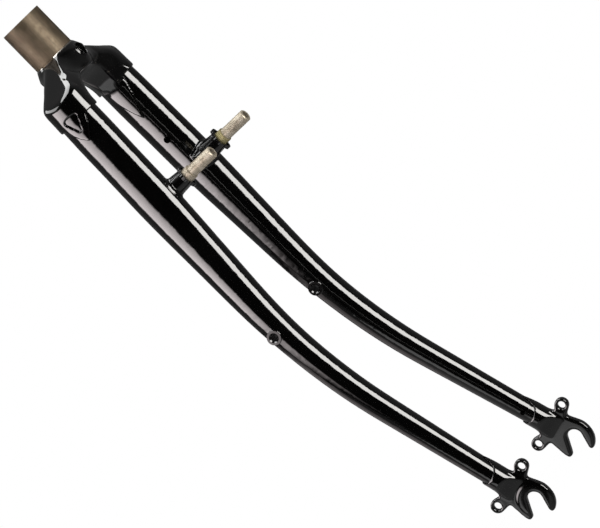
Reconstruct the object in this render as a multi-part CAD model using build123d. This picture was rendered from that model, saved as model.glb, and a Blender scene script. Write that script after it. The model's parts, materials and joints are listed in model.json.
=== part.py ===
from build123d import *
import os
from math import asin, cos, isclose, radians, sin, tan

# Rigid touring fork: lugged crown, raked blades, socketed dropouts and brazed-on fittings
# Millimetres, +X forward, +Y to the rider's left, +Z up the steering axis, origin at the crown-race seat

# Steerer tube
STEERER_RADIUS = 14.3
STEERER_WALL = 2.0
STEERER_ABOVE_SEAT = 29.5
STEERER_STEP = 0.3

# Crown body
SEAT_RADIUS = 14.6
BOSS_FLARE_ANGLE = 28.0
BOSS_FLARE_DEPTH = 8.5
BOSS_TUCK_ANGLE = 20.0
BOSS_WAIST_ROUND = 6.0
BOSS_CREASE_FILLET = 1.5
CROWN_DEPTH = 18.5
ROOF_START = 13.2
ROOF_ANGLE = 33.5
SHOULDER_TOP_HALF = 5.4
ARCH_INSIDE_BLADES = 3.25
ARCH_CORNER = 18.0
HAUNCH_HALF_DEPTH = 9.5
HAUNCH_CORNER = 17.0
RIDGE_FILLET = 4.2
CROWN_HOLE_RADIUS = 3.0
CROWN_HOLE_RIM = 0.9
CROWN_HOLE_DEPTH = 8.3

# Crown sockets, with a pointed tang outside and a longer one inside
LUG_EDGE = 38.5
LUG_WALL = 1.3
TANG_HALF_WIDTH = 9.5
TANG_BULGE = 1.2
OUTER_TANG_LENGTH = 14.0
INNER_TANG_LENGTH = 29.0
WINDOW_ABOVE_EDGE = 4.5
WINDOW_HALF_WIDTH = 5.6
WINDOW_HEIGHT = 11.0
WINDOW_CORNER = 0.8

# Blades, measured along each one from the lug edge
BLADE_SPACING = 75.5
BLADE_FORWARD = 0.9
BLADE_DEPTH_HALF = 14.0
BLADE_WIDTH_HALF = 10.0
BLADE_WALL = 1.1
BLADE_IN_CROWN = 10.0
BLADE_LENGTH = 340.5
BLADE_TIP_RADIUS = 6.65
TAPER_START = 75.5
TAPER_KNEE = 190.5
TAPER_KNEE_DEPTH_HALF = 9.4
BEND_START = 146.5
BEND_RADIUS = 376.0
BEND_ANGLE = 16.8
BLADE_STATION_GAP = 20.0
VENT_RADIUS = 2.2
VENT_BELOW_LUG = 47.0
TIP_VENT_RADIUS = 1.5
TIP_VENT_ABOVE_SOCKET = 7.0

# Dropouts
HUB_SPACING = 100.0
PLATE_THICKNESS = 4.6
AXLE_BELOW_BLADE = 22.7
AXLE_AHEAD = 1.2
AXLE_RING_RADIUS = 12.4
AXLE_RING_BEHIND = 1.2
PRONG_DROP = 1.7
SLOT_RADIUS = 5.0
SLOT_ANGLE = 22.0
SLOT_FLARE_ANGLE = 6.0
PRONG_ROUND = 1.8
LAND_RADIUS = 10.8
LAND_HEIGHT = 0.6
SOCKET_WALL = 1.25
SOCKET_DEPTH = 6.0
SCALLOP_RADIUS = 8.8
SOCKET_POINT_LENGTH = 13.0
SOCKET_POINT_HALF_WIDTH = 4.5
SCOOP_RADIUS = 16.0
EYELET_RADIUS = 4.6
EYELET_HOLE_RADIUS = 2.5
EYELET_COUNTERSINK = 0.6
EYELET_NECK_RADIUS = 2.5
NOTCH_ROUND = 1.5
FRONT_EYELET_AHEAD = 8.5
FRONT_EYELET_ABOVE = 20.4
REAR_EYELET_BEHIND = 21.4
REAR_EYELET_ABOVE = 11.7

# Brake bosses, spring plates and studs
STUD_SPACING = 72.0
STUD_BELOW_SEAT = 108.4
POST_BASE_RADIUS = 6.75
POST_END_RADIUS = 5.9
POST_END = 23.6
POST_REACH = 12.0
PLATE_LOBE_OFFSET = 5.1
PLATE_LOBE_RADIUS = 2.7
PLATE_LOBE_HOLE = 1.3
SPRING_PLATE_THICKNESS = 2.0
COLLAR_RADIUS = 4.7
COLLAR_LENGTH = 3.8
STUD_RADIUS = 4.0
STUD_LENGTH = 19.2
STUD_CHAMFER = 0.5
STUD_ROOT_RADIUS = 3.0
STUD_ROOT_LENGTH = 8.0
STUD_BORE_RADIUS = 2.5
STUD_BORE_DEPTH = 14.0

# Mid-blade rack bosses
RACK_BOSS_BELOW_LUG = 177.5
RACK_BOSS_BEHIND = 2.8
RACK_BARREL_RADIUS = 4.0
RACK_FLANGE_RADIUS = 4.6
RACK_FLANGE_PROUD = 0.8
RACK_HOLE_RADIUS = 2.5
RACK_COUNTERSINK = 0.7

# Room for cutting tools past the surface that they cut
PAST = 30.0

os.makedirs("parts", exist_ok=True)


def save(shape, name):
    export_step(shape, f"parts/{name}.step")


def save_pair(left, name):
    save(left, f"{name}_left")
    save(mirror(left, about=Plane.XZ), f"{name}_right")


def slab(sketch, y_low, y_high):
    """A sketch in (X, Z), made solid from y_low to y_high."""
    return extrude(Plane.XZ.offset(-y_high) * sketch, y_high - y_low)


# Blade centreline: straight, one bend forward, straight to the dropout
bend_end = BEND_START + BEND_RADIUS * radians(BEND_ANGLE)


def blade_offsets(s):
    """Distance forward, distance down and turn in radians, s below the lug edge."""
    turn = min(max((s - BEND_START) / BEND_RADIUS, 0.0), radians(BEND_ANGLE))
    rest = max(s - bend_end, 0.0)
    ahead = BEND_RADIUS * (1 - cos(turn)) + rest * sin(turn)
    down = min(s, BEND_START) + BEND_RADIUS * sin(turn) + rest * cos(turn)
    return ahead, down, turn


plate_middle = HUB_SPACING / 2 + PLATE_THICKNESS / 2
blade_splay = asin((plate_middle - BLADE_SPACING / 2) / blade_offsets(BLADE_LENGTH)[1])
blade_down = Vector(0, sin(blade_splay), -cos(blade_splay))
blade_base = Vector(BLADE_FORWARD, BLADE_SPACING / 2, -LUG_EDGE)
forward = Vector(1, 0, 0)


def blade_plane(s):
    """Plane across the left blade: x to the front of the blade, y inward, z down the blade."""
    ahead, down, turn = blade_offsets(s)
    middle = blade_base + forward * ahead + blade_down * down
    along = forward * sin(turn) + blade_down * cos(turn)
    front = forward * cos(turn) - blade_down * sin(turn)
    return Plane(middle, x_dir=front, z_dir=along)


def between(s, s_from, s_to, size_from, size_to):
    share = min(max((s - s_from) / (s_to - s_from), 0.0), 1.0)
    return size_from + (size_to - size_from) * share


def blade_halves(s):
    """Half depth and half width of the blade's oval."""
    if s < TAPER_KNEE:
        depth = between(s, TAPER_START, TAPER_KNEE, BLADE_DEPTH_HALF, TAPER_KNEE_DEPTH_HALF)
    else:
        depth = between(s, TAPER_KNEE, BLADE_LENGTH, TAPER_KNEE_DEPTH_HALF, BLADE_TIP_RADIUS)
    width = between(s, TAPER_START, BLADE_LENGTH, BLADE_WIDTH_HALF, BLADE_TIP_RADIUS)
    return depth, width


def blade_stations(top, end):
    gaps = round((end - top) / BLADE_STATION_GAP)
    return [top + (end - top) * i / gaps for i in range(gaps + 1)]


def blade_solid(inset, top, end):
    """The blade's outer form drawn in by inset, from top to end."""
    sections = []
    for s in blade_stations(top, end):
        depth, width = blade_halves(s)
        sections.append(blade_plane(s) * Ellipse(depth - inset, width - inset))
    return loft(sections)


def oval_prism(grow, top, bottom):
    """The socket's straight oval, grown by grow, from top to bottom along the blade."""
    oval = Ellipse(BLADE_DEPTH_HALF + grow, BLADE_WIDTH_HALF + grow)
    return extrude(blade_plane(top) * oval, bottom - top)


blade_outside = blade_solid(0.0, -BLADE_IN_CROWN, BLADE_LENGTH)


# Crown, round the spigot that the steerer is turned down to
spigot_radius = STEERER_RADIUS - STEERER_STEP
socket_inside = BLADE_SPACING / 2 - BLADE_WIDTH_HALF - LUG_WALL
socket_outside = BLADE_SPACING / 2 + BLADE_WIDTH_HALF + LUG_WALL
arch_half_width = BLADE_SPACING / 2 - ARCH_INSIDE_BLADES
roof_angle = radians(ROOF_ANGLE)
roof_drop = (socket_outside - ROOF_START) * tan(roof_angle)
shoulder_lean = (BLADE_DEPTH_HALF + LUG_WALL - SHOULDER_TOP_HALF) / roof_drop


def roof_form():
    """Everything below the seat and the two sloping shoulders."""
    side = socket_outside + PAST
    drop = (side - ROOF_START) * tan(roof_angle)
    low = -LUG_EDGE - INNER_TANG_LENGTH - PAST
    right_half = [(ROOF_START, 0), (side, -drop), (side, low)]
    outline = right_half + [(-y, z) for y, z in reversed(right_half)]
    width = BLADE_DEPTH_HALF + PAST
    return extrude(Plane.YZ.offset(-width) * make_face(Polyline(*outline, close=True)), 2 * width)


def shoulder_form():
    """Everything behind the leaning front face and before the leaning rear face."""
    low = -LUG_EDGE - PAST
    half_low = SHOULDER_TOP_HALF - low * shoulder_lean
    right_half = [(SHOULDER_TOP_HALF, 0), (half_low, low)]
    outline = right_half + [(-x, z) for x, z in reversed(right_half)]
    side = socket_outside + PAST
    leaning = slab(make_face(Polyline(*outline, close=True)), -side, side)
    return Pos(BLADE_FORWARD, 0, 0) * leaning


def arched_web(half_depth, opening_half_width, opening_corner):
    """A web between the sockets, arched underneath."""
    web = Pos(BLADE_FORWARD, 0, -LUG_EDGE / 2) * Box(2 * half_depth, BLADE_SPACING, LUG_EDGE)
    opening = RectangleRounded(2 * opening_half_width, 2 * (LUG_EDGE + PAST - CROWN_DEPTH), opening_corner)
    tunnel = extrude(Plane.YZ.offset(-PAST) * (Pos(0, -LUG_EDGE - PAST) * opening), 2 * PAST)
    return web - tunnel


def arch_bridge():
    """The wide bridge, with narrower haunches that run down into the inner tangs."""
    bridge = arched_web(BLADE_DEPTH_HALF + LUG_WALL, arch_half_width, ARCH_CORNER)
    return bridge + arched_web(HAUNCH_HALF_DEPTH, socket_inside, HAUNCH_CORNER)


waist_radius = SEAT_RADIUS + BOSS_FLARE_DEPTH * tan(radians(BOSS_FLARE_ANGLE))


def central_boss():
    """The round boss that takes the steerer: it flares to a rounded waist and draws in below it."""
    stem = CROWN_DEPTH - BOSS_FLARE_DEPTH
    low_radius = waist_radius - stem * tan(radians(BOSS_TUCK_ANGLE))
    flare = Pos(0, 0, -BOSS_FLARE_DEPTH / 2) * Cone(waist_radius, SEAT_RADIUS, BOSS_FLARE_DEPTH)
    boss = flare + Pos(0, 0, -BOSS_FLARE_DEPTH - stem / 2) * Cone(low_radius, waist_radius, stem)
    waist = boss.edges().filter_by(GeomType.CIRCLE).group_by(Axis.Z)[1]
    return fillet(waist, BOSS_WAIST_ROUND)


def crease_edges(crown):
    """Edges where the arms leave the round boss."""
    found = []
    for edge in crown.edges():
        middle = edge.position_at(0.5)
        beside_boss = (middle.X**2 + middle.Y**2) ** 0.5 < waist_radius and abs(middle.Y) > SHOULDER_TOP_HALF
        if beside_boss and edge.geom_type not in (GeomType.CIRCLE, GeomType.LINE):
            found.append(edge)
    return found


def tang(length, y_low, y_high):
    """A pointed tang below the lug edge: its side outline, over the socket's own oval wall."""
    root = LUG_WALL
    tip = (BLADE_FORWARD, -LUG_EDGE - length)
    sides = []
    for way in (-1, 1):
        corner = (BLADE_FORWARD + way * TANG_HALF_WIDTH, -LUG_EDGE)
        middle = (BLADE_FORWARD + way * (TANG_HALF_WIDTH / 2 + TANG_BULGE), -LUG_EDGE - length / 2)
        sides.append((corner, middle))
    (left_corner, left_middle), (right_corner, right_middle) = sides
    left_root = (left_corner[0], left_corner[1] + root)
    right_root = (right_corner[0], right_corner[1] + root)
    outline = [
        Polyline(left_corner, left_root, right_root, right_corner),
        ThreePointArc(right_corner, right_middle, tip),
        ThreePointArc(tip, left_middle, left_corner),
    ]
    wall = oval_prism(LUG_WALL, -BLADE_IN_CROWN, length + PAST)
    return wall & slab(make_face(outline), y_low, y_high)


def tang_window():
    """A three-cornered window through the outer tang."""
    top = -LUG_EDGE + WINDOW_ABOVE_EDGE
    corners = [
        (BLADE_FORWARD - WINDOW_HALF_WIDTH, top),
        (BLADE_FORWARD + WINDOW_HALF_WIDTH, top),
        (BLADE_FORWARD, top - WINDOW_HEIGHT),
    ]
    opening = make_face(Polyline(*corners, close=True))
    opening = fillet(opening.vertices(), WINDOW_CORNER)
    return slab(opening, BLADE_SPACING / 2, BLADE_SPACING / 2 + PAST)


def roof_edges(shape):
    """Edges where a sloping shoulder meets the walls round it, below the seat."""
    found = []
    for face in shape.faces():
        if isclose(face.normal_at().Z, cos(roof_angle)):
            found.extend(edge for edge in face.edges() if edge.center().Z < -RIDGE_FILLET)
    return found


def build_crown():
    socket = oval_prism(LUG_WALL, -LUG_EDGE, 0)
    arms = arch_bridge() + socket + mirror(socket, about=Plane.XZ)
    arms = arms & shoulder_form() & roof_form()
    arms = fillet(roof_edges(arms), RIDGE_FILLET)
    crown = arms + (central_boss() & roof_form())
    crown = fillet(crease_edges(crown), BOSS_CREASE_FILLET)
    middle = BLADE_SPACING / 2
    tangs = tang(OUTER_TANG_LENGTH, middle, middle + PAST) + tang(INNER_TANG_LENGTH, middle - PAST, middle)
    window = tang_window()
    for side in (tangs, mirror(tangs, about=Plane.XZ)):
        crown = crown + side
    for cut in (window, blade_outside):
        crown = crown - cut - mirror(cut, about=Plane.XZ)
    crown = crown - Cylinder(spigot_radius, 2 * (CROWN_DEPTH + PAST))
    return crown - crown_hole()


def crown_hole():
    """The cross hole through crown and steerer, with a small countersink at each face."""
    along = Location((0, 0, -CROWN_HOLE_DEPTH), (0, 90, 0))
    turn = radians(BOSS_FLARE_ANGLE + BOSS_TUCK_ANGLE)
    face = waist_radius - BOSS_WAIST_ROUND * (1 / cos(turn / 2) - 1)
    hole = Cylinder(CROWN_HOLE_RADIUS, 2 * (face + PAST))
    rim_radius = CROWN_HOLE_RADIUS + CROWN_HOLE_RIM
    rim = Pos(0, 0, face - CROWN_HOLE_RIM / 2) * Cone(CROWN_HOLE_RADIUS, rim_radius, CROWN_HOLE_RIM)
    rim = rim + Pos(0, 0, face + PAST / 2) * Cylinder(rim_radius, PAST)
    return along * (hole + rim + mirror(rim, about=Plane.XY))


save(build_crown(), "fork_crown")


# Steerer
def build_steerer():
    tube = Pos(0, 0, STEERER_ABOVE_SEAT / 2) * Cylinder(STEERER_RADIUS, STEERER_ABOVE_SEAT)
    spigot = Pos(0, 0, -CROWN_DEPTH / 2) * Cylinder(spigot_radius, CROWN_DEPTH)
    bore = Cylinder(STEERER_RADIUS - STEERER_WALL, 2 * (STEERER_ABOVE_SEAT + CROWN_DEPTH))
    return tube + spigot - bore - crown_hole()


save(build_steerer(), "steerer_tube")


# Mid-blade rack bosses
rack_plane = blade_plane(RACK_BOSS_BELOW_LUG)
rack_place = rack_plane.location * Location((-RACK_BOSS_BEHIND, 0, 0), (90, 0, 0))
rack_half = blade_halves(RACK_BOSS_BELOW_LUG)[1] + RACK_FLANGE_PROUD
rack_barrel = rack_place * Cylinder(RACK_BARREL_RADIUS, 2 * rack_half)


def build_rack_boss():
    flange = rack_place * Cylinder(RACK_FLANGE_RADIUS, 2 * rack_half) - blade_outside
    mouth = RACK_HOLE_RADIUS + RACK_COUNTERSINK
    sink = Pos(0, 0, rack_half - RACK_COUNTERSINK / 2) * Cone(RACK_HOLE_RADIUS, mouth, RACK_COUNTERSINK)
    hole = Cylinder(RACK_HOLE_RADIUS, 2 * rack_half) + sink + mirror(sink, about=Plane.XY)
    return flange + rack_barrel - rack_place * hole


save_pair(build_rack_boss(), "rack_boss")


# Blades
def vent_hole(s, radius):
    """A vent through the blade's inner wall."""
    depth = blade_halves(s)[1]
    place = blade_plane(s).location * Location((0, depth, 0), (90, 0, 0))
    return place * Cylinder(radius, depth)


def build_blade():
    cavity = blade_solid(BLADE_WALL, -BLADE_IN_CROWN, BLADE_LENGTH)
    tube = blade_outside - cavity - rack_barrel
    tip_vent = BLADE_LENGTH - SOCKET_DEPTH - TIP_VENT_ABOVE_SOCKET
    return tube - vent_hole(VENT_BELOW_LUG, VENT_RADIUS) - vent_hole(tip_vent, TIP_VENT_RADIUS)


save_pair(build_blade(), "blade")


# Dropouts
tip_plane = blade_plane(BLADE_LENGTH)
tip_turn = radians(BEND_ANGLE)
tip_point = (tip_plane.origin.X, tip_plane.origin.Z)
socket_radius = BLADE_TIP_RADIUS + SOCKET_WALL
axle_x = tip_point[0] + AXLE_BELOW_BLADE * sin(tip_turn) + AXLE_AHEAD * cos(tip_turn)
axle_z = tip_point[1] - AXLE_BELOW_BLADE * cos(tip_turn) + AXLE_AHEAD * sin(tip_turn)
plate_inside = HUB_SPACING / 2
plate_outside = plate_inside + PLATE_THICKNESS


def disc(point, radius):
    return Pos(*point) * Circle(radius)


def hull(*discs):
    edges = []
    for one in discs:
        edges.extend(one.edges())
    return make_hull(edges)


def axle_slot():
    """The open-ended axle slot, a little wider at its mouth."""
    flare = 2 * AXLE_RING_RADIUS * tan(radians(SLOT_FLARE_ANGLE))
    sides = [
        (-SLOT_RADIUS, 0),
        (SLOT_RADIUS, 0),
        (SLOT_RADIUS + flare, -2 * AXLE_RING_RADIUS),
        (-SLOT_RADIUS - flare, -2 * AXLE_RING_RADIUS),
    ]
    slot = Circle(SLOT_RADIUS) + make_face(Polyline(*sides, close=True))
    return Location((axle_x, axle_z, 0), (0, 0, -SLOT_ANGLE)) * slot


front_eyelet = (axle_x + FRONT_EYELET_AHEAD, axle_z + FRONT_EYELET_ABOVE)
rear_eyelet = (axle_x - REAR_EYELET_BEHIND, axle_z + REAR_EYELET_ABOVE)


def plate_sketch():
    ring = (axle_x - AXLE_RING_BEHIND, axle_z)
    prongs = (ring[0], ring[1] - PRONG_DROP)
    neck = ((axle_x + tip_point[0]) / 2, (axle_z + tip_point[1]) / 2)
    axle_discs = [disc(middle, AXLE_RING_RADIUS) for middle in (ring, prongs)]
    outline = hull(*axle_discs, disc(tip_point, socket_radius))
    for eyelet in (front_eyelet, rear_eyelet):
        outline += hull(disc(eyelet, EYELET_RADIUS), disc(neck, EYELET_NECK_RADIUS))
    outline = offset(offset(outline, NOTCH_ROUND), -NOTCH_ROUND)
    outline -= axle_slot()
    mouth_x = axle_x - AXLE_RING_RADIUS * sin(radians(SLOT_ANGLE))
    mouth_z = axle_z - AXLE_RING_RADIUS * cos(radians(SLOT_ANGLE))
    tips = outline.vertices().sort_by_distance((mouth_x, mouth_z, 0))[:2]
    return fillet(tips, PRONG_ROUND)


def eyelet_hole(point):
    """A threaded eyelet's hole, countersunk at both faces of the plate."""
    mouth = EYELET_HOLE_RADIUS + EYELET_COUNTERSINK
    face = PLATE_THICKNESS / 2
    sink = Pos(0, 0, face - EYELET_COUNTERSINK / 2) * Cone(EYELET_HOLE_RADIUS, mouth, EYELET_COUNTERSINK)
    hole = Cylinder(EYELET_HOLE_RADIUS, PLATE_THICKNESS) + sink + mirror(sink, about=Plane.XY)
    return Location((point[0], plate_middle, point[1]), (90, 0, 0)) * hole


def scoops():
    """Cutters that scoop the round socket down to the flat plate, outside and inside."""
    rise = plate_middle + socket_radius - plate_outside
    run = (SCOOP_RADIUS**2 - (SCOOP_RADIUS - rise) ** 2) ** 0.5
    along = Vector(sin(tip_turn), 0, -cos(tip_turn))
    across = Vector(cos(tip_turn), 0, sin(tip_turn))
    level = Plane((tip_point[0], plate_middle, tip_point[1]), x_dir=along, z_dir=across)
    half = PLATE_THICKNESS / 2
    cutters = []
    for way in (-1, 1):
        centre = (run, way * (half + SCOOP_RADIUS))
        beyond = Pos(run + PAST / 2, centre[1]) * Rectangle(PAST, 2 * SCOOP_RADIUS)
        section = Pos(*centre) * Circle(SCOOP_RADIUS) + beyond
        cutters.append(extrude(level.offset(-PAST) * section, 2 * PAST))
    return cutters


def socket_point():
    """The pointed tongue of the socket, up the front of the blade."""
    corners = [
        (-SOCKET_POINT_HALF_WIDTH, SOCKET_WALL),
        (SOCKET_POINT_HALF_WIDTH, SOCKET_WALL),
        (SOCKET_POINT_HALF_WIDTH, 0),
        (0, -SOCKET_POINT_LENGTH),
        (-SOCKET_POINT_HALF_WIDTH, 0),
    ]
    mouth = blade_plane(BLADE_LENGTH - SOCKET_DEPTH)
    front_view = Plane(mouth.origin, x_dir=mouth.y_dir, z_dir=mouth.x_dir)
    tongue = extrude(front_view * make_face(Polyline(*corners, close=True)), PAST)
    start = blade_plane(BLADE_LENGTH - SOCKET_DEPTH - SOCKET_POINT_LENGTH)
    reach = SOCKET_POINT_LENGTH + SOCKET_DEPTH
    return tongue & extrude(start * Circle(socket_radius), reach)


def build_dropout():
    sketch = plate_sketch()
    plate = slab(sketch, plate_inside, plate_outside)
    land = disc((axle_x, axle_z), LAND_RADIUS) - axle_slot()
    plate += slab(land, plate_outside, plate_outside + LAND_HEIGHT)
    for eyelet in (front_eyelet, rear_eyelet):
        plate -= eyelet_hole(eyelet)
    scallop_middle = blade_plane(BLADE_LENGTH - SOCKET_DEPTH - SCALLOP_RADIUS)
    scallop = scallop_middle.location * Rot(90, 0, 0) * Cylinder(SCALLOP_RADIUS, 2 * PAST)
    reach = SCALLOP_RADIUS + SOCKET_DEPTH + AXLE_BELOW_BLADE - LAND_RADIUS
    socket = extrude(scallop_middle * Circle(socket_radius), reach) - scallop
    for cutter in scoops():
        socket -= cutter
    return plate + socket + socket_point() - blade_outside


save_pair(build_dropout(), "dropout")


# Brake bosses, spring plates and studs, along +X
stud_y = STUD_SPACING / 2
stud_start = Location((0, stud_y, -STUD_BELOW_SEAT), (0, 90, 0))


def turned(radius, x_from, x_to):
    """A cylinder on the stud's axis."""
    return stud_start * (Pos(0, 0, (x_from + x_to) / 2) * Cylinder(radius, x_to - x_from))


stud_root = turned(STUD_ROOT_RADIUS, POST_END - STUD_ROOT_LENGTH, POST_END + SPRING_PLATE_THICKNESS)


def build_brake_boss():
    start = POST_END - POST_REACH
    cone = Pos(0, 0, start + POST_REACH / 2) * Cone(POST_BASE_RADIUS, POST_END_RADIUS, POST_REACH)
    foot = turned(POST_BASE_RADIUS, start - POST_BASE_RADIUS, start)
    return stud_start * cone + foot - blade_outside - stud_root


def build_spring_plate():
    lobes = [disc((0, way * PLATE_LOBE_OFFSET), PLATE_LOBE_RADIUS) for way in (-1, 1)]
    outline = hull(*lobes) + Circle(POST_END_RADIUS)
    for way in (-1, 1):
        outline -= disc((0, way * PLATE_LOBE_OFFSET), PLATE_LOBE_HOLE)
    upright = Plane((POST_END, stud_y, -STUD_BELOW_SEAT), x_dir=(0, 1, 0), z_dir=(1, 0, 0))
    return extrude(upright * outline, SPRING_PLATE_THICKNESS) - stud_root


def build_stud():
    collar_start = POST_END + SPRING_PLATE_THICKNESS
    collar_end = collar_start + COLLAR_LENGTH
    stud_end = collar_end + STUD_LENGTH
    pin = turned(STUD_RADIUS, collar_end, stud_end)
    pin = chamfer(pin.edges().group_by(Axis.X)[-1], STUD_CHAMFER)
    stud = pin + turned(COLLAR_RADIUS, collar_start, collar_end) + stud_root
    return stud - turned(STUD_BORE_RADIUS, stud_end - STUD_BORE_DEPTH, stud_end)


save_pair(build_brake_boss(), "brake_boss")
save_pair(build_spring_plate(), "spring_plate")
save_pair(build_stud(), "brake_stud")
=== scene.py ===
import bmesh
import bpy
import json
import numpy as np
from math import cos, pi, radians, sin, sqrt
from mathutils import Matrix, Vector
from mathutils.bvhtree import BVHTree


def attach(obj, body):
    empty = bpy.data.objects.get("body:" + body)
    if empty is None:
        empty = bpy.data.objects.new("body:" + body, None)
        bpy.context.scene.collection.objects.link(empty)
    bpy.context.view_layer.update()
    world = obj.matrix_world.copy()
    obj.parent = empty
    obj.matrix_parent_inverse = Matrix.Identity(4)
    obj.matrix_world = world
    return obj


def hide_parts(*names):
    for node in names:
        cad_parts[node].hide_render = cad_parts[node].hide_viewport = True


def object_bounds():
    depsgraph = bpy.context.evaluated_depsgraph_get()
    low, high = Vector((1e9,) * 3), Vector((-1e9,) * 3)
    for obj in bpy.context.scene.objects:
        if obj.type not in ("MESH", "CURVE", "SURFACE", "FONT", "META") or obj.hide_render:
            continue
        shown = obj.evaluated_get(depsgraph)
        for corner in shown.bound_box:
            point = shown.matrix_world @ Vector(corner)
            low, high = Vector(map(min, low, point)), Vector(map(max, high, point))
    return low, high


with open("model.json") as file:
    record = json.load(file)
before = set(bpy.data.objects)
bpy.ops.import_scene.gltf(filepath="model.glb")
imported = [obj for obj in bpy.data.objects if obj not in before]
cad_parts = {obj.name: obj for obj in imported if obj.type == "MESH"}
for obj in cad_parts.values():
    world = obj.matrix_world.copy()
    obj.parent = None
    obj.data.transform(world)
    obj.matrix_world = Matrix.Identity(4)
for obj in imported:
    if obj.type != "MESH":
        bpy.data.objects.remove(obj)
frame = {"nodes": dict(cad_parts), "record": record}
cad_low, cad_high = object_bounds()

# Rigid touring fork in gloss black, with a bare steerer and bare brake studs
# Metres, +X forward, +Y to the rider's left, +Z up the steering axis
SIDES = ("left", "right")

# Camera, at the viewing angle of the photograph
CAMERA_AZIMUTH = 25.288
CAMERA_ELEVATION = 3.03
CAMERA_ROLL = 44.327
CAMERA_DISTANCE = 3.597
CAMERA_TARGET = Vector((0.020, 0.0, -0.180))
CAMERA_SIDE_STEP = 0.000767
CAMERA_UP_STEP = -0.016604
LENS = 351.57
SENSOR = 36.0

# Studio: the light on the part, and the dim room that its paint mirrors
MIDDLE = Vector((0.02, 0.0, -0.19))
ORIGIN = Vector((0.0, 0.0, 0.0))
AMBIENT = 0.45
SURROUND = 0.085
SURROUND_ABOVE = 0.11
SURROUND_RISE = (0.1, 0.6)
SURROUND_FRONT = (0.1, 0.75)
BLACK = (0.0, 0.0, 0.0)
WHITE = (1.0, 1.0, 1.0)
PINK = (1.0, 0.915, 0.92)
WARM = (1.0, 0.98, 0.95)

# Lamps: where the key and the top lamp stand, and the panels' brightness from one side to the other
KEY_AIM = Vector((0.02, 0.0, -0.05))
TOP_PLACE = Vector((0.0, 0.0, 1.2))
REAR_PROFILE = ((0.0, 0.0), (0.12, 1.0), (0.5, 0.85), (0.86, 0.6), (1.0, 0.0))
CARD_PROFILE = ((0.0, 0.8), (0.2, 1.0), (0.75, 1.0), (1.0, 0.0))
PLATE_PROFILE = ((0.0, 1.0), (0.85, 1.0), (0.97, 0.6), (1.0, 0.0))

# Floor: its size, its greys, and what the paint mirrors of it from rear to front
FLOOR_BELOW = 0.15
FLOOR_RADIUS = 1.6
FLOOR_CORNERS = 96
FLOOR_FADE_FROM = 0.4
FLOOR_GREYS = ((0.62, 0.62, 0.62), (0.66, 0.66, 0.66))
FLOOR_GRAIN = 300.0
FLOOR_ROUGHNESS = 0.8
FLOOR_SPECULAR = 0.1
FLOOR_GLOW = 0.45
FLOOR_REFLECTION = 0.24
FLOOR_REFLECTION_FRONT = 0.04
FLOOR_FRONT = (-0.2, 0.4)

# Gloss black paint, which ends at a bare lip round the steerer's seat
CLOUD_SPAN = (0.3, 0.7)
PAINT_DARK = (0.0006, 0.0006, 0.0006)
PAINT_LIGHT = (0.0014, 0.0013, 0.0013)
PAINT_CLOUD = 60.0
PAINT_ROUGHNESS = (0.07, 0.11)
PAINT_IOR = 1.5
COAT_ROUGHNESS = 0.03
PEEL_SCALE = 500.0
PEEL_STRENGTH = 0.004
PEEL_HEIGHT = 0.0001
SEAT_LIP = 0.0006
LIP_SPAN = (-1.3 * SEAT_LIP, -SEAT_LIP)
LIP_COLOUR = (0.50, 0.46, 0.41)

# Drawn steel of the steerer: brown blotches, stains, and streaks along the tube
STEEL_SHADES = (
    (0.30, (0.070, 0.053, 0.035)),
    (0.50, (0.118, 0.090, 0.058)),
    (0.72, (0.185, 0.145, 0.096)),
)
BLOTCH_SCALE = 55.0
BLOTCH_STRETCH = (1, 1, 0.6)
STAIN_COLOUR = (0.165, 0.118, 0.082)
STAIN_SCALE = 190.0
STAIN_SPAN = (0.35, 0.75)
STAIN_SHARE = (0.0, 0.55)
STREAK_COLOUR = (0.055, 0.047, 0.037)
STREAK_SCALE = 700.0
STREAK_STRETCH = (1, 1, 0.08)
STREAK_SPAN = (0.3, 0.75)
STREAK_SHARE = (0.0, 0.35)
STREAK_STRENGTH = 0.12
STREAK_HEIGHT = 0.0003
STEEL_METALLIC = 0.75
STEEL_ROUGH_SPAN = (0.25, 0.75)
STEEL_ROUGHNESS = (0.42, 0.62)
STEEL_EDGE = 0.0004
EDGE_SAMPLES = 6
STEEL_SPAN = (-2 * SEAT_LIP, -SEAT_LIP)

# Dull plated studs, turned, the left one with an olive collar
STUD_SHADES = (
    (0.30, (0.36, 0.31, 0.235)),
    (0.52, (0.47, 0.415, 0.325)),
    (0.75, (0.57, 0.52, 0.43)),
)
STUD_METALLIC = 0.7
STUD_IOR = 1.5
STUD_CLOUD = 260.0
STUD_ROUGHNESS = (0.36, 0.5)
TURNING_SCALE = 1500.0
TURNING_STRETCH = (1, 0.04, 0.04)
TURNING_STRENGTH = 0.004
TURNING_HEIGHT = 0.00005
COLLAR_SPAN = (0.0293, 0.0297)
COLLAR_SHARE = (0.85, 0.0)
COLLAR_COLOUR = (0.30, 0.265, 0.11)
LEFT_SPAN = (-0.001, 0.001)

# Braze fillets at the joints, as sections along each seam
RACK_FILLET = 0.0006
POST_FILLET = 0.0022
FILLET_STEP = 0.0006
FILLET_SINK = 0.00006
FILLET_SECTIONS = 5
FILLET_TURN_ROUNDS = 6
SHORTEST_SEAM = 4
WALL_PROBE = 0.0004
SEAT_TOUCH = 0.00012
SEAT_PARALLEL = 0.9
WELD = 1e-6

# Cast pieces: the cells of their meshes, and how often all their edges are eased
EASE_SHARE = 0.5
DROPOUT_CELL = 0.00042
DROPOUT_ROUNDS = 16
CROWN_CELL = 0.00055
CROWN_ROUNDS = 12

# The crown's arms, outward of the boss and above the lug edge
SHOULDER_ROUNDS = 40
SHOULDER_OUT = (0.006, 0.010)
SHOULDER_UP = (-0.036, -0.032)

# The creases where the boss, the arms and the arch meet
CREASE_ROUNDS = 400
CREASE_MIDDLE = (0.0125, 0.0122, 0.0108)
CREASE_REACH = (0.012, 0.0105, 0.0082)
HOLLOW_FADE = 0.3

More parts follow.
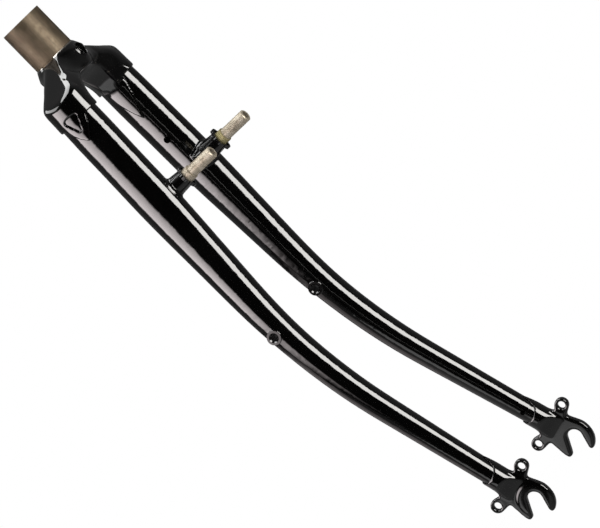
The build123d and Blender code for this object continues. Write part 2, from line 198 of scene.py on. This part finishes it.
# The flanks between each haunch and its socket
FLANK_ROUNDS = 150
FLANK_MIDDLE = (0.0115, 0.028, 0.026)
FLANK_REACH = (0.008, 0.010, 0.016)
FLANK_FLARE = 0.0022
FLANK_RISE = (-0.038, -0.020)

# The haunches, the inner walls of the sockets under the arch
HAUNCH_ROUNDS = 40
HAUNCH_FILL = 0.0026
HAUNCH_DEPTH = (0.0095, 0.0125)
HAUNCH_INNER = (0.012, 0.016)
HAUNCH_OUTER = (0.027, 0.0275)
HAUNCH_FOOT = (-0.046, -0.042)
HAUNCH_HEAD = (-0.022, -0.018)
HAUNCH_RISE = (-0.043, -0.030)

# The mouths of the hole through the boss
RIM_ROUNDS = 18
RIM_HEIGHT = -0.0083
RIM_REACH = 0.0056
RIM_FADE = 0.002
RIM_FLARE = 0.0016
HOLE_RADIUS = 0.003

# Sockets of a colour mix: its share, its two colours and its result
MIX_INPUTS = (0, 6, 7)
MIX_RESULT = 2

# A share that goes from none to all
FROM_NONE_TO_ALL = (0.0, 1.0)


# Node helpers
def new_material(name):
    material = bpy.data.materials.new(name)
    material.use_nodes = True
    return material, material.node_tree


def set_inputs(node, **values):
    for key, value in values.items():
        node.inputs[key.replace("_", " ")].default_value = value


def add(tree, kind, **values):
    """A node with its input sockets set by name."""
    node = tree.nodes.new(kind)
    set_inputs(node, **values)
    return node


def feed(tree, value, socket):
    """A link from another socket, or a fixed value."""
    if isinstance(value, bpy.types.NodeSocket):
        tree.links.new(value, socket)
    else:
        socket.default_value = value


def object_point(tree, scale=(1, 1, 1)):
    """The point on the surface, in metres in the part's own frame."""
    where = tree.nodes.new("ShaderNodeTexCoord")
    stretch = add(tree, "ShaderNodeMapping", Scale=scale)
    tree.links.new(where.outputs["Object"], stretch.inputs["Vector"])
    return stretch.outputs["Vector"]


def noise(tree, point, scale, detail=3.0, roughness=0.5):
    node = add(tree, "ShaderNodeTexNoise", Scale=scale, Detail=detail, Roughness=roughness)
    tree.links.new(point, node.inputs["Vector"])
    return node.outputs["Fac"]


def axis_value(tree, point, axis):
    node = tree.nodes.new("ShaderNodeSeparateXYZ")
    tree.links.new(point, node.inputs["Vector"])
    return node.outputs[axis]


def along(tree, vector, way):
    """How far a vector goes along a fixed way."""
    node = tree.nodes.new("ShaderNodeVectorMath")
    node.operation = "DOT_PRODUCT"
    node.inputs[1].default_value = way
    tree.links.new(vector, node.inputs[0])
    return node.outputs["Value"]


def length(tree, vector):
    node = tree.nodes.new("ShaderNodeVectorMath")
    node.operation = "LENGTH"
    tree.links.new(vector, node.inputs[0])
    return node.outputs["Value"]


def multiply(tree, first, second):
    node = tree.nodes.new("ShaderNodeMath")
    node.operation = "MULTIPLY"
    feed(tree, first, node.inputs[0])
    feed(tree, second, node.inputs[1])
    return node.outputs[0]


def remap(tree, value, span, result):
    """A smooth rise or fall from one result to the other while the value crosses the span."""
    node = tree.nodes.new("ShaderNodeMapRange")
    set_inputs(node, From_Min=span[0], From_Max=span[1], To_Min=result[0], To_Max=result[1])
    node.interpolation_type = "SMOOTHSTEP"
    tree.links.new(value, node.inputs["Value"])
    return node.outputs["Result"]


def mix_colour(tree, share, first, second):
    """A blend of two colours, each a socket or three numbers."""
    node = tree.nodes.new("ShaderNodeMix")
    node.data_type = "RGBA"
    for place, value in zip(MIX_INPUTS, (share, first, second)):
        feed(tree, (*value, 1.0) if isinstance(value, tuple) else value, node.inputs[place])
    return node.outputs[MIX_RESULT]


def mix_shaders(tree, share, first, second):
    node = tree.nodes.new("ShaderNodeMixShader")
    for socket, value in zip(node.inputs, (share, first, second)):
        tree.links.new(value, socket)
    return node.outputs[0]


def ramp(tree, value, stops):
    node = tree.nodes.new("ShaderNodeValToRGB")
    elements = node.color_ramp.elements
    while len(elements) < len(stops):
        elements.new(0.5)
    for element, (place, colour) in zip(elements, stops):
        element.position = place
        element.color = (*colour, 1.0)
    tree.links.new(value, node.inputs["Fac"])
    return node.outputs["Color"]


def bump(tree, relief, strength, height, edge_radius=0.0):
    """The normal of a fine relief, with rounded edges where a radius is given."""
    node = add(tree, "ShaderNodeBump", Strength=strength, Distance=height)
    tree.links.new(relief, node.inputs["Height"])
    if edge_radius:
        edge = add(tree, "ShaderNodeBevel", Radius=edge_radius)
        edge.samples = EDGE_SAMPLES
        tree.links.new(edge.outputs["Normal"], node.inputs["Normal"])
    return node.outputs["Normal"]


# Materials
def gloss_black():
    material, tree = new_material("gloss_black_paint")
    shader = tree.nodes["Principled BSDF"]
    set_inputs(shader, IOR=PAINT_IOR, Coat_Weight=1.0, Coat_Roughness=COAT_ROUGHNESS, Coat_IOR=PAINT_IOR)
    point = object_point(tree)
    cloud = noise(tree, point, PAINT_CLOUD)
    colour = mix_colour(tree, cloud, PAINT_DARK, PAINT_LIGHT)
    bare = remap(tree, axis_value(tree, point, "Z"), LIP_SPAN, FROM_NONE_TO_ALL)
    tree.links.new(mix_colour(tree, bare, colour, LIP_COLOUR), shader.inputs["Base Color"])
    tree.links.new(bare, shader.inputs["Metallic"])
    tree.links.new(remap(tree, cloud, CLOUD_SPAN, PAINT_ROUGHNESS), shader.inputs["Roughness"])
    peel = noise(tree, point, PEEL_SCALE, detail=1.0)
    normal = bump(tree, peel, PEEL_STRENGTH, PEEL_HEIGHT)
    tree.links.new(normal, shader.inputs["Normal"])
    tree.links.new(normal, shader.inputs["Coat Normal"])
    return material


def drawn_steel():
    material, tree = new_material("bare_drawn_steel")
    shader = tree.nodes["Principled BSDF"]
    point = object_point(tree)
    blotch = noise(tree, object_point(tree, BLOTCH_STRETCH), BLOTCH_SCALE, detail=4.0, roughness=0.55)
    streak = noise(tree, object_point(tree, STREAK_STRETCH), STREAK_SCALE, detail=3.0, roughness=0.6)
    stain = noise(tree, point, STAIN_SCALE, detail=5.0, roughness=0.6)
    base = ramp(tree, blotch, STEEL_SHADES)
    base = mix_colour(tree, remap(tree, stain, STAIN_SPAN, STAIN_SHARE), base, STAIN_COLOUR)
    base = mix_colour(tree, remap(tree, streak, STREAK_SPAN, STREAK_SHARE), base, STREAK_COLOUR)
    bare = remap(tree, axis_value(tree, point, "Z"), STEEL_SPAN, FROM_NONE_TO_ALL)
    metallic = remap(tree, bare, FROM_NONE_TO_ALL, (0.0, STEEL_METALLIC))
    tree.links.new(mix_colour(tree, bare, PAINT_DARK, base), shader.inputs["Base Color"])
    tree.links.new(metallic, shader.inputs["Metallic"])
    tree.links.new(remap(tree, stain, STEEL_ROUGH_SPAN, STEEL_ROUGHNESS), shader.inputs["Roughness"])
    normal = bump(tree, streak, STREAK_STRENGTH, STREAK_HEIGHT, STEEL_EDGE)
    tree.links.new(normal, shader.inputs["Normal"])
    return material


def plated_stud():
    material, tree = new_material("dull_plated_steel")
    shader = tree.nodes["Principled BSDF"]
    set_inputs(shader, Metallic=STUD_METALLIC, IOR=STUD_IOR)
    point = object_point(tree)
    cloud = noise(tree, point, STUD_CLOUD, detail=1.0)
    turning = noise(tree, object_point(tree, TURNING_STRETCH), TURNING_SCALE, detail=2.0)
    base = ramp(tree, cloud, STUD_SHADES)
    collar = remap(tree, axis_value(tree, point, "X"), COLLAR_SPAN, COLLAR_SHARE)
    on_left = remap(tree, axis_value(tree, point, "Y"), LEFT_SPAN, FROM_NONE_TO_ALL)
    base = mix_colour(tree, multiply(tree, collar, on_left), base, COLLAR_COLOUR)
    tree.links.new(base, shader.inputs["Base Color"])
    tree.links.new(remap(tree, cloud, CLOUD_SPAN, STUD_ROUGHNESS), shader.inputs["Roughness"])
    tree.links.new(bump(tree, turning, TURNING_STRENGTH, TURNING_HEIGHT), shader.inputs["Normal"])
    return material


paint = gloss_black()
slot_materials = {"black_paint": paint, "bare_steel": drawn_steel(), "plated_steel": plated_stud()}
for part in frame["record"]["subparts"]:
    node = frame["nodes"][part["node"]]
    node.data.materials.clear()
    node.data.materials.append(slot_materials[part["material_slot"]])


# Painted pieces that the fork carries
def welded(node):
    shape = bmesh.new()
    shape.from_mesh(node.data)
    bmesh.ops.remove_doubles(shape, verts=shape.verts, dist=WELD)
    shape.normal_update()
    return shape


def painted_piece(name, mesh):
    """A smooth piece in black paint, fixed to the fork."""
    for face in mesh.polygons:
        face.use_smooth = True
    mesh.materials.clear()
    mesh.materials.append(paint)
    mesh.update()
    piece = bpy.data.objects.new(name, mesh)
    bpy.context.scene.collection.objects.link(piece)
    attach(piece, "root")
    return piece


# Braze fillets where one piece stands on another
def seat_faces(shape, carrier):
    """The faces of a piece that lie on its carrier."""
    seat = set()
    for face in shape.faces:
        _, normal, _, gap = carrier.find_nearest(face.calc_center_median())
        if gap < SEAT_TOUCH and abs(normal.dot(face.normal)) > SEAT_PARALLEL:
            seat.add(face)
    return seat


def chains(edges):
    """The edges in order, as runs of vertices, each with whether it closes."""
    left = set(edges)
    at = {}
    for edge in edges:
        for vertex in edge.verts:
            at.setdefault(vertex, []).append(edge)

    def is_end(vertex):
        return len([other for other in at[vertex] if other in left]) == 1

    runs = []
    while left:
        ends = [edge for edge in left if any(is_end(vertex) for vertex in edge.verts)]
        edge = min(ends or left, key=lambda candidate: candidate.index)
        run = [next((vertex for vertex in edge.verts if is_end(vertex)), edge.verts[0])]
        while edge:
            left.discard(edge)
            run.append(edge.other_vert(run[-1]))
            edge = next((other for other in at[run[-1]] if other in left), None)
        runs.append((run[:-1], True) if run[0] is run[-1] else (run, False))
    return runs


def even_points(points, closed):
    """Points a fixed step apart along a run."""
    path = points + points[:1] if closed else points
    lengths = [(b - a).length for a, b in zip(path, path[1:])]
    count = max(round(sum(lengths) / FILLET_STEP), SHORTEST_SEAM)
    made = []
    for i in range(count if closed else count + 1):
        target = sum(lengths) * i / count
        k = 0
        while k < len(lengths) - 1 and target > lengths[k]:
            target -= lengths[k]
            k += 1
        made.append(path[k].lerp(path[k + 1], min(target / lengths[k], 1.0)))
    return made


def neighbours(values, i, closed):
    """The values before and after, or the value itself at an open end."""
    before = values[i - 1] if closed or i else values[i]
    after = values[(i + 1) % len(values)] if closed or i < len(values) - 1 else values[i]
    return before, after


def smoothed(vectors, closed):
    for _ in range(FILLET_TURN_ROUNDS):
        fresh = []
        for i, vector in enumerate(vectors):
            before, after = neighbours(vectors, i, closed)
            fresh.append((before + 2 * vector + after).normalized())
        vectors = fresh
    return vectors


def toward(vector, way):
    """The vector, or its reverse if that leans more the given way."""
    return (vector if vector.dot(way) > 0 else -vector).normalized()


def seam_ways(points, closed, carrier, walls):
    """At each point of a seam, the way up the standing piece and the way out over its carrier."""
    ups = []
    outs = []
    for i, point in enumerate(points):
        before, after = neighbours(points, i, closed)
        tangent = (after - before).normalized()
        carrier_normal = carrier.find_nearest(point)[1]
        wall_normal = walls.find_nearest(point + WALL_PROBE * carrier_normal)[1]
        ups.append(toward(wall_normal.cross(tangent), carrier_normal))
        outs.append(toward(carrier_normal.cross(tangent), wall_normal))
    return smoothed(ups, closed), smoothed(outs, closed)


def fillet_section(point, up, out, reach, carrier):
    """The root of a fillet in its corner, then its hollow curve from the wall down to the carrier."""
    normal = carrier.find_nearest(point)[1]
    high = point + reach * up - FILLET_SINK * out
    foot, foot_normal, _, _ = carrier.find_nearest(point + reach * out)
    low = foot - FILLET_SINK * foot_normal
    section = [point - FILLET_SINK * (normal + out)]
    for k in range(FILLET_SECTIONS):
        f = k / (FILLET_SECTIONS - 1)
        section.append((1 - f) ** 2 * high + 2 * f * (1 - f) * point + f**2 * low)
    return section


def braze_fillet(name, node_name, carrier_name, reach):
    """A hollow fillet along the seam where a node stands on its carrier."""
    shape = welded(frame["nodes"][node_name])
    carrier = BVHTree.FromBMesh(welded(frame["nodes"][carrier_name]))
    seat = seat_faces(shape, carrier)
    seam = [e for e in shape.edges if len(e.link_faces) == 2 and sum(f in seat for f in e.link_faces) == 1]
    wall_faces = [[v.index for v in f.verts] for f in shape.faces if f not in seat]
    walls = BVHTree.FromPolygons([v.co.copy() for v in shape.verts], wall_faces)
    fillet = bmesh.new()
    for run, closed in chains(seam):
        if len(run) < SHORTEST_SEAM:
            continue
        points = even_points([v.co.copy() for v in run], closed)
        rings = []
        for point, up, out in zip(points, *seam_ways(points, closed, carrier, walls)):
            section = fillet_section(point, up, out, reach, carrier)
            rings.append([fillet.verts.new(place) for place in section])
        followers = rings[1:] + rings[:1] if closed else rings[1:]
        for ring, following in zip(rings, followers):
            for k in range(len(ring)):
                m = (k + 1) % len(ring)
                fillet.faces.new((ring[k], ring[m], following[m], following[k]))
        if not closed:
            fillet.faces.new(rings[0])
            fillet.faces.new(list(reversed(rings[-1])))
    bmesh.ops.recalc_face_normals(fillet, faces=fillet.faces)
    mesh = bpy.data.meshes.new(name)
    fillet.to_mesh(mesh)
    painted_piece(name, mesh)


for side in SIDES:
    blade = "blade_" + side
    braze_fillet("post_fillet_" + side, "brake_boss_" + side, blade, POST_FILLET)
    braze_fillet("rack_fillet_" + side, "rack_boss_" + side, blade, RACK_FILLET)


# Cast pieces with eased edges
def even_mesh(node, cell):
    """The node's surface in even cells, each corner laid back onto the node."""
    rough = bpy.data.objects.new("rough", node.data.copy())
    bpy.context.scene.collection.objects.link(rough)
    remesh = rough.modifiers.new("even", "REMESH")
    remesh.mode = "VOXEL"
    remesh.voxel_size = cell
    graph = bpy.context.evaluated_depsgraph_get()
    mesh = bpy.data.meshes.new_from_object(rough.evaluated_get(graph))
    bpy.data.objects.remove(rough)
    surface = BVHTree.FromBMesh(welded(node))
    for vertex in mesh.vertices:
        vertex.co = surface.find_nearest(vertex.co)[0]
    return mesh


def eased(points, edges, share, rounds):
    """Each point drawn toward the mean of its neighbours, by its own share."""
    first, second = edges[:, 0], edges[:, 1]
    count = np.bincount(edges.ravel(), minlength=len(points))[:, None]
    for _ in range(rounds):
        total = np.zeros_like(points)
        for axis in range(points.shape[1]):
            total[:, axis] += np.bincount(first, weights=points[second, axis], minlength=len(points))
            total[:, axis] += np.bincount(second, weights=points[first, axis], minlength=len(points))
        points = points + share[:, None] * (total / count - points)
    return points


def cast_piece(name, node_name, held_by, cell, rounds, passes):
    """The node with its edges eased, its seams kept on the pieces named, then each pass of fill and ease."""
    mesh = even_mesh(frame["nodes"][node_name], cell)
    points = np.array([v.co[:] for v in mesh.vertices])
    edges = np.array([e.vertices[:] for e in mesh.edges])
    free = np.ones(len(points))
    seats = []
    for other in held_by:
        surface = BVHTree.FromBMesh(welded(frame["nodes"][other]))
        nearest = [surface.find_nearest(v.co, SEAT_TOUCH)[0] for v in mesh.vertices]
        held = [i for i, place in enumerate(nearest) if place is not None]
        free[held] = 0.0
        seats.append((surface, held))
    for _ in range(rounds):
        points = eased(points, edges, np.full(len(points), EASE_SHARE), 1)
        for surface, held in seats:
            for i in held:
                points[i] = surface.find_nearest(Vector(points[i]))[0]
    for pass_rounds, zone, fill in passes:
        points = points + free[:, None] * fill(points)
        points = eased(points, edges, EASE_SHARE * free * zone(points), pass_rounds)
    mesh.vertices.foreach_set("co", points.ravel())
    piece = painted_piece(name, mesh)
    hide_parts(node_name)


# Zones of the crown that are eased further, and what fills some of them out first
def steps(values, span):
    """0 up to the start of the span, 1 from its end on, straight between."""
    low, high = span
    return np.clip((values - low) / (high - low), 0, 1)


def shoulders(points):
    """The crown's arms, away from the hole in its boss and above the lug edge."""
    return steps(abs(points[:, 1]), SHOULDER_OUT) * steps(points[:, 2], SHOULDER_UP)


def hollow(middle, reach):
    """A zone round the same place on all four quarters of the crown, fading out to its edge."""
    def zone(points):
        away = np.linalg.norm((abs(points) - np.array(middle)) / np.array(reach), axis=1)
        return np.clip((1 - away) / HOLLOW_FADE, 0, 1)
    return zone


creases = hollow(CREASE_MIDDLE, CREASE_REACH)
flanks = hollow(FLANK_MIDDLE, FLANK_REACH)


def haunches(points):
    """The inner walls of the sockets, from the arch down to the inner tangs."""
    across = abs(points[:, 1])
    amidships = 1 - steps(abs(points[:, 0]), HAUNCH_DEPTH)
    inward = steps(across, HAUNCH_INNER) * (1 - steps(across, HAUNCH_OUTER))
    upright = steps(points[:, 2], HAUNCH_FOOT) * (1 - steps(points[:, 2], HAUNCH_HEAD))
    return amidships * inward * upright


def hole_rim(points):
    """The mouths of the hole through the boss."""
    away = np.hypot(points[:, 1], points[:, 2] - RIM_HEIGHT)
    return np.clip((RIM_REACH - away) / RIM_FADE, 0, 1)


def no_fill(points):
    return np.zeros_like(points)


def flank_fill(points):
    """The hollow between each haunch and its socket, filled out toward its top."""
    amount = FLANK_FLARE * flanks(points) * steps(points[:, 2], FLANK_RISE)
    ways = np.stack([np.sign(points[:, 0]), -np.sign(points[:, 1]), 0 * amount], axis=1)
    return amount[:, None] * ways / sqrt(2)


def haunch_fill(points):
    """The haunches, filled out toward the arch."""
    amount = HAUNCH_FILL * haunches(points) * steps(points[:, 2], HAUNCH_RISE)
    ways = np.stack([0 * amount, -np.sign(points[:, 1]), 0 * amount], axis=1)
    return amount[:, None] * ways


def rim_fill(points):
    """The hole through the boss, opened out at its mouths."""
    across = points[:, 1:] - np.array((0.0, RIM_HEIGHT))
    away = np.linalg.norm(across, axis=1)
    share = 1 - steps(away, (HOLE_RADIUS, RIM_REACH))
    amount = RIM_FLARE * share / np.maximum(away, HOLE_RADIUS / 2)
    return np.column_stack([np.zeros(len(points)), amount[:, None] * across])


crown_passes = (
    (SHOULDER_ROUNDS, shoulders, no_fill),
    (HAUNCH_ROUNDS, haunches, haunch_fill),
    (CREASE_ROUNDS, creases, no_fill),
    (FLANK_ROUNDS, flanks, flank_fill),
    (RIM_ROUNDS, hole_rim, rim_fill),
)
crown_neighbours = ("blade_left", "blade_right", "steerer_tube")
cast_piece("cast_crown", "fork_crown", crown_neighbours, CROWN_CELL, CROWN_ROUNDS, crown_passes)
for side in SIDES:
    blade = "blade_" + side
    cast_piece("cast_dropout_" + side, "dropout_" + side, (blade,), DROPOUT_CELL, DROPOUT_ROUNDS, ())


# Camera
def camera_axes():
    a = radians(CAMERA_AZIMUTH)
    e = radians(CAMERA_ELEVATION)
    roll = radians(CAMERA_ROLL)
    back = Vector((sin(a) * cos(e), -cos(a) * cos(e), sin(e)))
    level = Vector((cos(a), sin(a), 0))
    up = back.cross(level)
    right = cos(roll) * level - sin(roll) * up
    top = sin(roll) * level + cos(roll) * up
    return level, up, right, top, back


def make_camera():
    level, up, right, top, back = camera_axes()
    target = CAMERA_TARGET + CAMERA_SIDE_STEP * level + CAMERA_UP_STEP * up
    data = bpy.data.cameras.new("camera")
    data.lens = LENS
    data.sensor_width = SENSOR
    data.sensor_fit = "HORIZONTAL"
    camera = bpy.data.objects.new("camera", data)
    bpy.context.scene.collection.objects.link(camera)
    turn = Matrix((right, top, back)).transposed().to_4x4()
    camera.matrix_world = Matrix.Translation(target + CAMERA_DISTANCE * back) @ turn
    bpy.context.scene.camera = camera
    return back


to_camera = make_camera()


# Lights
def direction(azimuth, elevation):
    a = radians(azimuth)
    e = radians(elevation)
    return Vector((cos(a) * cos(e), sin(a) * cos(e), sin(e)))


def away_from(aim, azimuth, elevation, distance):
    return aim + distance * direction(azimuth, elevation)


def soft_light(name, place, aim, width, height, radiance, colour=WHITE):
    """A rectangular soft box of the given surface brightness."""
    data = bpy.data.lights.new(name, "AREA")
    data.shape = "RECTANGLE"
    data.size = width
    data.size_y = height
    data.color = colour
    data.energy = radiance * width * height * pi
    light = bpy.data.objects.new(name, data)
    bpy.context.scene.collection.objects.link(light)
    light.location = place
    light.rotation_euler = (place - aim).normalized().to_track_quat("Z", "Y").to_euler()
    light.visible_camera = False


def panel_glow(name, side, width, foot_span, radiance, profile, colour):
    """A glow that follows the profile from side to side and rises from 0 over the span."""
    material, tree = new_material(name)
    tree.nodes.remove(tree.nodes["Principled BSDF"])
    glow = add(tree, "ShaderNodeEmission", Strength=radiance)
    point = object_point(tree)
    share = add(tree, "ShaderNodeMapRange", From_Min=-width / 2, From_Max=width / 2)
    tree.links.new(along(tree, point, side), share.inputs["Value"])
    fade = ramp(tree, share.outputs["Result"], [(place, (level, level, level)) for place, level in profile])
    foot = remap(tree, axis_value(tree, point, "Z"), foot_span, FROM_NONE_TO_ALL)
    tree.links.new(mix_colour(tree, multiply(tree, fade, foot), BLACK, colour), glow.inputs["Color"])
    tree.links.new(glow.outputs[0], tree.nodes["Material Output"].inputs["Surface"])
    return material


def soft_panel(name, azimuth, distance, width, low, high, radiance, profile, blur, colour=WHITE):
    """An upright soft box between two heights, dark at the first height of blur and full from its second."""
    way = direction(azimuth, 0)
    side = Vector((0, 0, 1)).cross(way)
    centre = Vector((MIDDLE.x, MIDDLE.y, (low + high) / 2)) + distance * way
    across = width / 2 * side
    rise = Vector((0, 0, (high - low) / 2))
    corners = [-across - rise, across - rise, across + rise, -across + rise]
    mesh = bpy.data.meshes.new(name)
    mesh.from_pydata(corners, [], [range(len(corners))])
    foot_span = [height - centre.z for height in blur]
    mesh.materials.append(panel_glow(name, side, width, foot_span, radiance, profile, colour))
    panel = bpy.data.objects.new(name, mesh)
    panel.location = centre
    bpy.context.scene.collection.objects.link(panel)
    panel.visible_camera = False
    panel.visible_shadow = False


soft_light(
    "key_strip", away_from(KEY_AIM, azimuth=-21, elevation=0, distance=2.0), KEY_AIM,
    width=1.15, height=1.15, radiance=9.0, colour=WARM)
soft_panel(
    "rear_box", azimuth=-134, distance=0.76, width=0.60, low=-0.36, high=0.18,
    radiance=6.2, profile=REAR_PROFILE, blur=(-0.34, -0.17), colour=PINK)
soft_panel(
    "rear_card", azimuth=-178, distance=0.80, width=0.85, low=-0.75, high=-0.28,
    radiance=0.45, profile=CARD_PROFILE, blur=(-0.28, -0.36), colour=PINK)
soft_panel(
    "plate_card", azimuth=-123.7, distance=0.80, width=0.32, low=-0.62, high=-0.415,
    radiance=0.85, profile=PLATE_PROFILE, blur=(-0.62, -0.60))
soft_light("top_box", TOP_PLACE, ORIGIN, width=0.84, height=1.6, radiance=5.0)
soft_light(
    "rim_box", away_from(MIDDLE, azimuth=200, elevation=46, distance=1.4), MIDDLE,
    width=1.2, height=0.5, radiance=3.0)


# World: white behind the part, a dim studio in its reflections, plain light on it
def make_world():
    world = bpy.data.worlds.new("studio")
    bpy.context.scene.world = world
    world.use_nodes = True
    tree = world.node_tree
    tree.nodes.clear()
    output = tree.nodes.new("ShaderNodeOutputWorld")
    path = tree.nodes.new("ShaderNodeLightPath")
    way = tree.nodes.new("ShaderNodeTexCoord").outputs["Generated"]
    upward = remap(tree, axis_value(tree, way, "Z"), SURROUND_RISE, (SURROUND, SURROUND_ABOVE))
    rearward = remap(tree, along(tree, way, to_camera), SURROUND_FRONT, (1.0, 0.0))
    white = add(tree, "ShaderNodeBackground", Color=(*WHITE, 1.0), Strength=1.0)
    plain = add(tree, "ShaderNodeBackground", Color=(*WHITE, 1.0), Strength=AMBIENT)
    dim = add(tree, "ShaderNodeBackground", Color=(*WHITE, 1.0))
    tree.links.new(multiply(tree, upward, rearward), dim.inputs["Strength"])
    lit = mix_shaders(tree, path.outputs["Is Glossy Ray"], plain.outputs[0], dim.outputs[0])
    seen = mix_shaders(tree, path.outputs["Is Camera Ray"], lit, white.outputs[0])
    tree.links.new(seen, output.inputs["Surface"])


make_world()


# Floor: pale, fading into the white round it
def pale_floor():
    """Grey, lifted toward white where it is seen; where the paint mirrors it, a painted glow, dimmer toward
    the front, takes the place of its own shading.
    """
    material, tree = new_material("pale_floor")
    shader = tree.nodes["Principled BSDF"]
    set_inputs(shader, Roughness=FLOOR_ROUGHNESS, Specular_IOR_Level=FLOOR_SPECULAR)
    set_inputs(shader, Emission_Color=(*WHITE, 1.0))
    point = object_point(tree)
    grain = noise(tree, point, FLOOR_GRAIN)
    tree.links.new(mix_colour(tree, grain, *FLOOR_GREYS), shader.inputs["Base Color"])
    path = tree.nodes.new("ShaderNodeLightPath")
    glow = multiply(tree, path.outputs["Is Camera Ray"], FLOOR_GLOW)
    tree.links.new(glow, shader.inputs["Emission Strength"])
    # Painted reflection: for glossy rays the floor glows, brighter at the rear than at the front
    mirrored = tree.nodes.new("ShaderNodeEmission")
    forward = axis_value(tree, point, "X")
    reflection = remap(tree, forward, FLOOR_FRONT, (FLOOR_REFLECTION, FLOOR_REFLECTION_FRONT))
    tree.links.new(reflection, mirrored.inputs["Strength"])
    either = mix_shaders(tree, path.outputs["Is Glossy Ray"], shader.outputs[0], mirrored.outputs[0])
    outward = remap(tree, length(tree, point), (FLOOR_FADE_FROM, FLOOR_RADIUS), FROM_NONE_TO_ALL)
    clear = tree.nodes.new("ShaderNodeBsdfTransparent")
    faded = mix_shaders(tree, outward, either, clear.outputs[0])
    tree.links.new(faded, tree.nodes["Material Output"].inputs["Surface"])
    return material


def make_floor():
    bpy.ops.mesh.primitive_circle_add(vertices=FLOOR_CORNERS, radius=FLOOR_RADIUS, fill_type="NGON")
    floor = bpy.context.object
    floor.name = "floor"
    floor.location = (MIDDLE.x, MIDDLE.y, cad_low.z - FLOOR_BELOW)
    floor.data.materials.append(pale_floor())


make_floor()

bpy.context.scene.view_settings.view_transform = "Standard"
